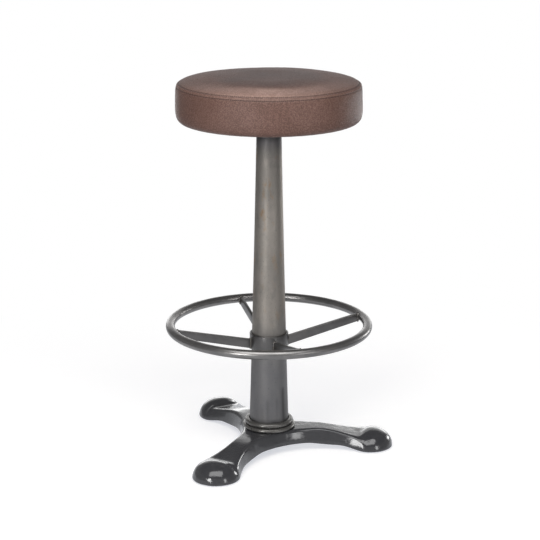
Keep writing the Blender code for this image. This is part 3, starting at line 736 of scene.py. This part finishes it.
def work_the_leather(cover):
    """Puckers, slack waves and creases of the leather, and the paint of its wear, with painted light on the
    front edge and painted shade on the top.
    """
    rng = random.Random(7)
    creases = []
    for _ in range(7):
        middle = math.radians(LOOSE_ANGLE + rng.uniform(-9, 9))
        level = SEAM_LOWER - rng.uniform(0.004, 0.016)
        creases.append((middle, level, rng.uniform(0.010, 0.022), LOOSE_CREASE))
    for _ in range(16):
        middle = rng.uniform(-math.pi, math.pi)
        level = SEAM_LOWER - rng.uniform(0.005, 0.050)
        creases.append((middle, level, rng.uniform(0.010, 0.026), FAINT_CREASE))
    normals = [normal.vector.copy() for normal in cover.data.vertex_normals]
    crowns = []
    worn_and_lit_shares = []
    for point, normal in zip(cover.data.vertices, normals):
        place = point.co
        radius = math.hypot(place.x, place.y)
        angle = math.atan2(place.y, place.x)
        round_place = Vector((math.cos(angle), math.sin(angle), 0))
        upper = math.hypot(radius - SEAM_UPPER_RADIUS, place.z - SEAM_UPPER)
        lower = math.hypot(radius - SEAM_LOWER_RADIUS, place.z - SEAM_LOWER)
        lift = 0.0
        if place.z > SEAT_BOTTOM + 0.002:
            pucker = noise.noise(round_place * 17.0) * 0.6 + noise.noise(round_place * 39.0) * 0.4
            beside = smoothstep(0.0004, 0.0030, lower) * math.exp(-lower / 0.0060)
            beside += 0.6 * smoothstep(0.0004, 0.0030, upper) * math.exp(-upper / 0.0050)
            lift += PUCKER_LIFT * pucker * beside
            lift += WAVE_LIFT * noise.noise(place * 13.0) * smoothstep(0.0, 0.012, min(upper, lower))
            for middle, level, reach, depth in creases:
                along = angle_from(angle, middle) * radius / reach
                across = (place.z - level - 0.0025 * along) / CREASE_WIDTH
                if abs(along) < 2.5 and abs(across) < 3.5 and radius > SEAM_LOWER_RADIUS - 0.002:
                    lift -= depth * math.exp(-along * along - across * across)
        else:
            pleat = math.sin(angle * PLEAT_COUNT + 2.0 * noise.noise(round_place * 3.0))
            lift += PLEAT_LIFT * pleat * smoothstep(*PLEAT_INNER, radius) * smoothstep(*PLEAT_OUTER, radius)
        point.co = place + normal * lift
        ragged = radius + 0.004 * noise.noise(place * 18.0)
        upward = 1.0 if place.z > SEAM_UPPER - 0.001 else 0.0
        # Painted light and shade: facing is greatest at the front, where the edge is painted lighter; away
        # from it the crown's painted shade spreads over the top's rim.
        facing = (0.5 - 0.5 * math.sin(angle)) ** 5
        crowns.append(upward * max(smoothstep(*DARK_CROWN, ragged), 0.55 * (1.0 - facing)))
        front = blend(0.05, 1.0, facing)
        edge = blend(0.30, 1.0, upward) * smoothstep(SEAM_LOWER - 0.004, SEAM_LOWER + 0.003, place.z)
        worn_and_lit_shares.append(front * edge * smoothstep(*WORN_AND_LIT_EDGE, ragged))
    paint(cover, "crown", crowns)
    paint(cover, "worn_and_lit", worn_and_lit_shares)


def make_cover():
    """Leather cover, turned from its profile, swollen and worked."""
    rings = cover_profile()
    builder = turned([(radius, level) for radius, level, _ in rings], COVER_STEPS, closed=False)
    covered = ("seat_top_panel", "seat_side_band", "seat_foam")
    cover = finished("seat_cover", builder, "seat", LEATHER, covered)
    freedom = {}
    for radius, level, free in rings:
        freedom[(round(radius, 4), round(level, 4))] = free
    free = []
    for point in cover.data.vertices:
        key = (round(math.hypot(point.co.x, point.co.y), 4), round(point.co.z, 4))
        free.append(freedom.get(key, 0.0))
    let_swell(cover, free)
    work_the_leather(cover)
    smoothed(cover, 1)


def stitch_shape(builder, length, radius):
    """One stitch of thread along X, rounded at both ends."""
    made = bmesh.ops.create_uvsphere(builder, u_segments=6, v_segments=5, radius=radius)["verts"]
    bmesh.ops.rotate(builder, verts=made, cent=(0, 0, 0), matrix=Matrix.Rotation(math.pi / 2, 3, "Y"))
    for point in made:
        if abs(point.co.x) > radius * 0.2:
            point.co.x += math.copysign(length / 2 - radius, point.co.x)
    return made


def make_stitches(name, seam_radius, seam_level, outward, length, sink):
    """Row of stitches that lies in a seam all round the cushion."""
    builder = bmesh.new()
    count = round(TAU * seam_radius / STITCH_PITCH)
    rng = random.Random(len(name))
    for index in range(count):
        made = stitch_shape(builder, length * rng.uniform(0.92, 1.06), THREAD_RADIUS)
        angle = TAU * index / count
        lean = Matrix.Rotation(rng.uniform(-0.05, 0.05), 4, "Y")
        place = Vector((0, -seam_radius - outward[0] * sink, seam_level + outward[1] * sink))
        turn = Matrix.Rotation(angle, 4, "Z") @ Matrix.Translation(place) @ lean
        bmesh.ops.transform(builder, matrix=turn, verts=made)
    return finished(name, builder, "seat", THREAD)


# Column and its flange

def make_column():
    """Tapered tube with a rounded rim, open at the top."""
    outline = outer_radii("column_tube")
    top, rim_radius = outline[0]
    low = outline[-1][0]
    bore = rim_radius - COLUMN_WALL
    profile = [(bore, top - 0.020), (bore, top), (rim_radius, top), (rim_radius + 0.00006, top - 0.0025)]
    profile += [(radius, level) for level, radius in outline[1:]]
    builder = turned(profile, TURNED_STEPS, closed=False)
    for number in range(1, COLUMN_SLICES):
        cut = (0, 0, blend(low, top - 0.003, number / COLUMN_SLICES))
        everything = builder.verts[:] + builder.edges[:] + builder.faces[:]
        bmesh.ops.bisect_plane(builder, geom=everything, dist=0.00001, plane_co=cut, plane_no=(0, 0, 1))
    column = finished("column", builder, "stool_frame", COLUMN_STEEL, ("column_tube",), 40)
    paint(column, "stain_and_shade", [column_stain_and_shade(point.co, top) for point in column.data.vertices])


def column_stain_and_shade(place, top):
    """Darkness of the grime at the column's foot and in the drips, and of the painted shade under its rim.
    """
    angle = math.atan2(place.y, place.x)
    radius = math.hypot(place.x, place.y)
    foot = 0.75 * smoothstep(0.068, 0.058, place.z + 0.004 * noise.noise(place * 60))
    # Painted shade under the seat, at the rim.
    rim = 0.5 * smoothstep(top - 0.010, top, place.z)
    amount = max(foot, rim)
    level = place.z + 0.006 * noise.noise(place * 90)
    for degrees, highest, lowest, width, depth in COLUMN_DRIPS:
        across = angle_from(angle, math.radians(degrees)) * radius / width
        along = smoothstep(lowest - 0.010, lowest, level) * smoothstep(highest + 0.012, highest, level)
        amount = max(amount, depth * math.exp(-across * across) * along)
    return amount


def bead(middle_radius, middle_level, radius):
    """Points of a half round bead, from its top round to its bottom."""
    angles = [math.radians(degrees) for degrees in range(90, -91, -10)]
    return [(middle_radius + radius * math.cos(a), middle_level + radius * math.sin(a)) for a in angles]


def make_flange():
    """Two half round beads, one on the other, round the foot of the column."""
    low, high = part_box("column_flange")
    lower = FLANGE_LOWER_BEAD / 2
    upper = (high.z - low.z - FLANGE_LOWER_BEAD) / 2
    bore = outer_radii("column_tube")[-1][1] + 0.0003
    profile = [(bore, high.z - 0.0012), (bore + 0.0008, high.z)]
    profile += bead(FLANGE_UPPER_RADIUS - upper, high.z - upper, upper)
    profile += bead(high.x - lower, low.z + lower, lower)
    profile.append((bore, low.z))
    builder = turned(profile, TURNED_STEPS)
    finished("flange", builder, "stool_frame", FLANGE_STEEL, ("column_flange",), 50)


# Footrest, with levels that follow from the solids

RING_LOW, RING_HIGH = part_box("foot_ring")
TUBE_RADIUS = (RING_HIGH.z - RING_LOW.z) / 2
RING_RADIUS = RING_HIGH.x - TUBE_RADIUS
RING_LEVEL = (RING_HIGH.z + RING_LOW.z) / 2
COLLAR_LOW, COLLAR_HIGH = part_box("ring_collar")
SPOKE_FOOT = COLLAR_LOW.z + SPOKE_LIFT
SPOKE_RISE = (RING_LEVEL - SPOKE_FOOT) / (RING_RADIUS - COLLAR_HIGH.x)


def spoke_level(reach):
    """Level of a spoke's middle at a distance from the column's axis."""
    return SPOKE_FOOT + SPOKE_RISE * (reach - COLLAR_HIGH.x)


def make_foot_ring():
    profile = []
    for side in range(RING_SIDES):
        angle = TAU * side / RING_SIDES
        radius = RING_RADIUS + TUBE_RADIUS * math.cos(angle)
        profile.append((radius, RING_LEVEL + TUBE_RADIUS * math.sin(angle)))
    builder = turned(profile, RING_STEPS)
    finished("footrest_ring", builder, "stool_frame", RING_STEEL, ("foot_ring",))


def make_collar():
    outer = COLLAR_HIGH.x
    inner = outer - COLLAR_WALL
    profile = [(inner, COLLAR_HIGH.z), (outer, COLLAR_HIGH.z), (outer, COLLAR_LOW.z), (inner, COLLAR_LOW.z)]
    builder = turned(profile, TURNED_STEPS)
    collar = finished("footrest_collar", builder, "stool_frame", BAR_STEEL, ("ring_collar",))
    softened(collar, COLLAR_EDGE, 3)


def spoke_frame(node):
    """Matrix that takes X along a spoke from the collar to the ring, Y across it and Z up."""
    low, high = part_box(node)
    middle = (low + high) / 2
    return Matrix.Rotation(math.atan2(middle.y, middle.x), 4, "Z")


def make_spokes():
    inner = COLLAR_HIGH.x - 0.001
    outer = RING_RADIUS - TUBE_RADIUS * 0.55
    for number in range(1, 5):
        node = f"ring_spoke_{number}"
        builder = bmesh.new()
        bmesh.ops.create_cube(builder, size=1.0)
        bmesh.ops.scale(builder, vec=(outer - inner, SPOKE_THICKNESS, 1.0), verts=builder.verts)
        bmesh.ops.translate(builder, vec=((outer + inner) / 2, 0, 0), verts=builder.verts)
        for point in builder.verts:
            share = (point.co.x - COLLAR_HIGH.x) / (RING_RADIUS - COLLAR_HIGH.x)
            depth = blend(SPOKE_ROOT_DEPTH, SPOKE_TIP_DEPTH, share)
            point.co.z = point.co.z * depth + spoke_level(point.co.x)
        bmesh.ops.bevel(
            builder, geom=builder.edges[:], offset=SPOKE_EDGE, offset_type="OFFSET", affect="EDGES",
            segments=3, profile=0.5, material=-1
        )
        bmesh.ops.transform(builder, matrix=spoke_frame(node), verts=builder.verts)
        finished(f"footrest_spoke_{number}", builder, "stool_frame", BAR_STEEL, (node,), 40)


def weld_bead(builder, across, upright, radius, seed):
    """Rippled bead of weld laid round the end of a flat bar, about the X axis."""
    circle = bmesh.ops.create_circle(builder, segments=8, radius=radius)["verts"]
    rim = list({edge for point in circle for edge in point.link_edges})
    for point in circle:
        point.co = (point.co.x, 0, 1.0 + point.co.y)
    before = set(builder.verts) - set(circle)
    bmesh.ops.spin(
        builder, geom=circle + rim, cent=(0, 0, 0), axis=(1, 0, 0), angle=TAU, steps=40, use_merge=True
    )
    made = [point for point in builder.verts if point not in before]
    for point in made:
        angle = math.atan2(point.co.z, point.co.y)
        spread = math.hypot(point.co.y, point.co.z) - 1.0
        uneven = noise.noise(Vector((3 * math.cos(angle), 3 * math.sin(angle), seed)))
        ripple = 1 + 0.20 * math.sin(angle * 13 + seed) + 0.35 * uneven
        wide = math.copysign(abs(math.cos(angle)) ** 0.55, math.cos(angle)) * across
        tall = math.copysign(abs(math.sin(angle)) ** 0.55, math.sin(angle)) * upright
        outward = Vector((0, math.cos(angle), math.sin(angle)))
        point.co = Vector((point.co.x * ripple, wide, tall)) + outward * spread * ripple
    return made


def make_welds():
    """Beads of weld at both ends of each spoke."""
    for number in range(1, 5):
        builder = bmesh.new()
        root = (COLLAR_HIGH.x + 0.0002, SPOKE_ROOT_DEPTH / 2, 0.0)
        tip = (RING_RADIUS - TUBE_RADIUS * 0.86, SPOKE_TIP_DEPTH / 2, 5.0)
        for reach, upright, seed in (root, tip):
            made = weld_bead(builder, WELD_HALF_WIDTH, upright - 0.0002, WELD_RADIUS, number + seed)
            bmesh.ops.translate(builder, vec=(reach, 0, spoke_level(reach)), verts=made)
        bmesh.ops.recalc_face_normals(builder, faces=builder.faces)
        bmesh.ops.transform(builder, matrix=spoke_frame(f"ring_spoke_{number}"), verts=builder.verts)
        finished(f"spoke_welds_{number}", builder, "stool_frame", WELD_METAL)


# Base

def make_base():
    """Copy of the casting's solid, smoothed so that its surface still passes through the solid's points."""
    builder = bmesh.new()
    builder.from_mesh(NODES["base_casting"].data)
    bmesh.ops.remove_doubles(builder, verts=builder.verts, dist=0.00002)
    bmesh.ops.join_triangles(
        builder, faces=builder.faces, angle_face_threshold=math.radians(40),
        angle_shape_threshold=math.radians(60)
    )
    base = finished("toed_base", builder, "stool_frame", ENAMEL, ("base_casting",))
    smoothed(base, 2)
    wanted = [point.co.copy() for point in base.data.vertices]
    for _ in range(5):
        now = base.evaluated_get(bpy.context.evaluated_depsgraph_get()).data.vertices
        steps = [goal - now[index].co for index, goal in enumerate(wanted)]
        for point, step in zip(base.data.vertices, steps):
            point.co += step * 0.8
        base.data.update()
        bpy.context.view_layer.update()


def dress_inner_nodes():
    """Finishes of the solids that show as they are."""
    finishes = {
        "column_crown": COLUMN_STEEL, "upper_bush": BRONZE, "lower_bush": BRONZE, "seat_board": PLYWOOD,
        "seat_foam": FOAM, "dust_cover": CLOTH,
    }
    for name, node in NODES.items():
        if name.startswith("foot_glide"):
            finish = RUBBER
        elif node.hide_render and name not in finishes:
            continue
        else:
            finish = finishes.get(name, ZINC)
        node.data.materials.clear()
        node.data.materials.append(finish)


# Stage

def added(tree, first, second):
    """Sum of two shaders."""
    node = put(tree, "ShaderNodeAddShader")
    feed(tree, node.inputs[0], first.outputs[0])
    feed(tree, node.inputs[1], second.outputs[0])
    return node


def either(tree, share, first, second):
    """One shader that gives way to another."""
    node = put(tree, "ShaderNodeMixShader")
    feed(tree, node.inputs[0], share)
    feed(tree, node.inputs[1], first.outputs[0])
    feed(tree, node.inputs[2], second.outputs[0])
    return node


def stage_sheet(name, builder, finish):
    """Sheet of the stage, with a material that has no shader yet, and the tree of that material."""
    mesh = bpy.data.meshes.new(name)
    builder.to_mesh(mesh)
    builder.free()
    sheet = bpy.data.objects.new(name, mesh)
    SCENE.collection.objects.link(sheet)
    material = bpy.data.materials.new(finish)
    material.use_nodes = True
    material.node_tree.nodes.remove(material.node_tree.nodes["Principled BSDF"])
    mesh.materials.append(material)
    return sheet, material.node_tree


def floor_paper(tree, split):
    """Mask of the bright paper on the floor, as polished pieces mirror it."""
    front = ranged(tree, split["Y"], -0.4, -1.4)
    behind = calc(tree, "MAXIMUM", split["Y"], 0.0)
    shift = minus(tree, times(tree, front, 0.45), times(tree, behind, 0.15))
    aside = calc(tree, "ABSOLUTE", plus(tree, plus(tree, split["X"], 0.15), shift))
    room = plus(tree, times(tree, front, 0.9), times(tree, behind, 0.5))
    width = ranged(tree, minus(tree, aside, room), 0.75, 1.35, 1.0, 0.0)
    near = ranged(tree, split["Y"], -4.4, -3.4)
    length = times(tree, near, ranged(tree, split["Y"], 0.6, 1.4, 1.0, 0.35))
    return times(tree, width, length)


def make_floor():
    """Pale paper sweep that the camera sees as white, with the stool's faint shadow on it."""
    builder = bmesh.new()
    bmesh.ops.create_grid(builder, x_segments=1, y_segments=1, size=FLOOR_HALF)
    _, tree = stage_sheet("studio_floor", builder, "white_paper")
    place = put(tree, "ShaderNodeTexCoord").outputs["Object"]
    split = put(tree, "ShaderNodeSeparateXYZ", Vector=place).outputs
    spread = ranged(tree, length_of(tree, place), *FLOOR_SHADOW_REACH)
    shade = put(tree, "ShaderNodeBsdfDiffuse", Color=mixed(tree, spread, FLOOR_SHADE, grey(0.0)))
    glow = put(tree, "ShaderNodeEmission", Color=mixed(tree, spread, FLOOR_LIGHT, grey(1.0)))
    paper = floor_paper(tree, split)
    mirror_glow = put(tree, "ShaderNodeEmission", Color=mixed(tree, paper, FLOOR_DIM, FLOOR_BRIGHT))
    bounce = put(tree, "ShaderNodeBsdfDiffuse", Color=grey(FLOOR_BOUNCE))
    even_glow = put(tree, "ShaderNodeEmission", Color=grey(1.0), Strength=times(tree, paper, FLOOR_GLOW))
    path = put(tree, "ShaderNodeLightPath").outputs
    mirrored = either(tree, path["Is Glossy Ray"], added(tree, bounce, even_glow), mirror_glow)
    direct = calc(tree, "MAXIMUM", path["Is Camera Ray"], path["Is Transmission Ray"])
    above = either(tree, direct, mirrored, added(tree, shade, glow))
    under = put(tree, "ShaderNodeNewGeometry").outputs["Backfacing"]
    surface = either(tree, under, above, put(tree, "ShaderNodeBsdfTransparent"))
    feed(tree, tree.nodes["Material Output"].inputs["Surface"], surface.outputs[0])


def make_backdrop():
    """Bright paper behind the stool, which only its reflections show."""
    builder = bmesh.new()
    bmesh.ops.create_grid(builder, x_segments=1, y_segments=1, size=1.0)
    bmesh.ops.scale(builder, vec=(*BACKDROP_HALF, 1.0), verts=builder.verts)
    upright = Matrix.Rotation(math.pi / 2, 3, "X")
    bmesh.ops.rotate(builder, verts=builder.verts, cent=(0, 0, 0), matrix=upright)
    bmesh.ops.translate(builder, vec=BACKDROP_MIDDLE, verts=builder.verts)
    backdrop, tree = stage_sheet("backdrop", builder, "backdrop_paper")
    backdrop.visible_camera = False
    place = put(tree, "ShaderNodeTexCoord").outputs["Object"]
    split = put(tree, "ShaderNodeSeparateXYZ", Vector=place).outputs
    low = ranged(tree, split["Z"], 0.20, 0.80, 1.0, 0.205)
    high = ranged(tree, split["Z"], 1.10, 1.55, 1.0, 0.0)
    foot = ranged(tree, split["Z"], 0.02, 0.18, 0.25, 1.0)
    aside = calc(tree, "ABSOLUTE", minus(tree, split["X"], BACKDROP_MIDDLE[0]))
    wide = ranged(tree, aside, 0.8, 1.5, 1.0, 0.0)
    light = times(tree, times(tree, times(tree, low, high), foot), wide)
    glow = put(tree, "ShaderNodeEmission", Color=mixed(tree, light, grey(BACK_WALL), grey(BACKDROP)))
    feed(tree, tree.nodes["Material Output"].inputs["Surface"], glow.outputs[0])


def make_surroundings():
    """Dim studio round the stool, which the camera sees as white."""
    world = bpy.data.worlds.new("studio")
    SCENE.world = world
    world.use_nodes = True
    tree = world.node_tree
    tree.nodes.clear()
    output = tree.nodes.new("ShaderNodeOutputWorld")
    direction = put(tree, "ShaderNodeTexCoord").outputs["Generated"]
    split = put(tree, "ShaderNodeSeparateXYZ", Vector=direction).outputs
    left = ranged(tree, split["X"], 0.2, -0.2)
    aside = mixed(tree, left, grey(RIGHT_WALL), grey(LEFT_WALL))
    around = mixed(tree, ranged(tree, split["Y"], 0.50, 0.80), aside, grey(BACK_WALL))
    around = mixed(tree, ranged(tree, split["Y"], -0.50, -0.80), around, grey(FRONT_WALL))
    ceiling = ranged(tree, split["Z"], 0.36, 0.50)
    around = mixed(tree, ceiling, around, grey(CEILING))
    path = put(tree, "ShaderNodeLightPath").outputs
    seen = calc(tree, "MAXIMUM", path["Is Camera Ray"], path["Is Transmission Ray"])
    mirrored = mixed(tree, path["Is Glossy Ray"], grey(AMBIENT), around)
    sky = put(tree, "ShaderNodeBackground", Color=mixed(tree, seen, mirrored, grey(1.0)), Strength=1.0)
    feed(tree, output.inputs["Surface"], sky.outputs[0])


def make_lamp(name, azimuth, elevation, distance, size, power, aim=STOOL_MIDDLE):
    """Softbox at an azimuth from the camera's side, positive to the right."""
    data = bpy.data.lights.new(name, "AREA")
    data.shape = "RECTANGLE"
    data.size, data.size_y = size
    data.energy = power
    lamp = bpy.data.objects.new(name, data)
    a = math.radians(azimuth)
    e = math.radians(elevation)
    away = Vector((math.sin(a) * math.cos(e), -math.cos(a) * math.cos(e), math.sin(e)))
    lamp.location = Vector(aim) + away * distance
    lamp.rotation_euler = (-away).to_track_quat("-Z", "Y").to_euler()
    lamp.visible_camera = False
    SCENE.collection.objects.link(lamp)


def make_camera():
    data = bpy.data.cameras.new("photo_camera")
    data.sensor_width = SENSOR_WIDTH
    data.lens = FOCAL_PIXELS / IMAGE_SIZE * SENSOR_WIDTH
    camera = bpy.data.objects.new("photo_camera", data)
    camera.location = CAMERA_PLACE
    camera.rotation_euler = (CAMERA_TILT, 0, 0)
    SCENE.collection.objects.link(camera)
    SCENE.camera = camera


make_camera()
make_cover()
STRIP_OUT = Vector((SEAM_UPPER - SEAM_LOWER, SEAM_LOWER_RADIUS - SEAM_UPPER_RADIUS)).normalized()
make_stitches("upper_stitching", SEAM_UPPER_RADIUS, SEAM_UPPER, STRIP_OUT, length=0.0026, sink=-0.0008)
make_stitches("lower_stitching", SEAM_LOWER_RADIUS, SEAM_LOWER, STRIP_OUT, length=0.0030, sink=-0.0010)
make_column()
make_flange()
make_foot_ring()
make_collar()
make_spokes()
make_welds()
make_base()
dress_inner_nodes()
make_floor()
make_backdrop()
make_surroundings()
make_lamp("front_panel", azimuth=-2, elevation=54, distance=2.7, size=(3.0, 1.9), power=67)
make_lamp("left_softbox", azimuth=-29, elevation=5, distance=2.6, size=(0.62, 0.74), power=19)
make_lamp("right_softbox", azimuth=40, elevation=5, distance=2.6, size=(0.50, 0.75), power=7)
make_lamp(
    "rim_panel", azimuth=127, elevation=-10, distance=2.0, size=(0.6, 0.35), power=4.6, aim=SEAT_MIDDLE
)
SCENE.view_settings.view_transform = "Standard"
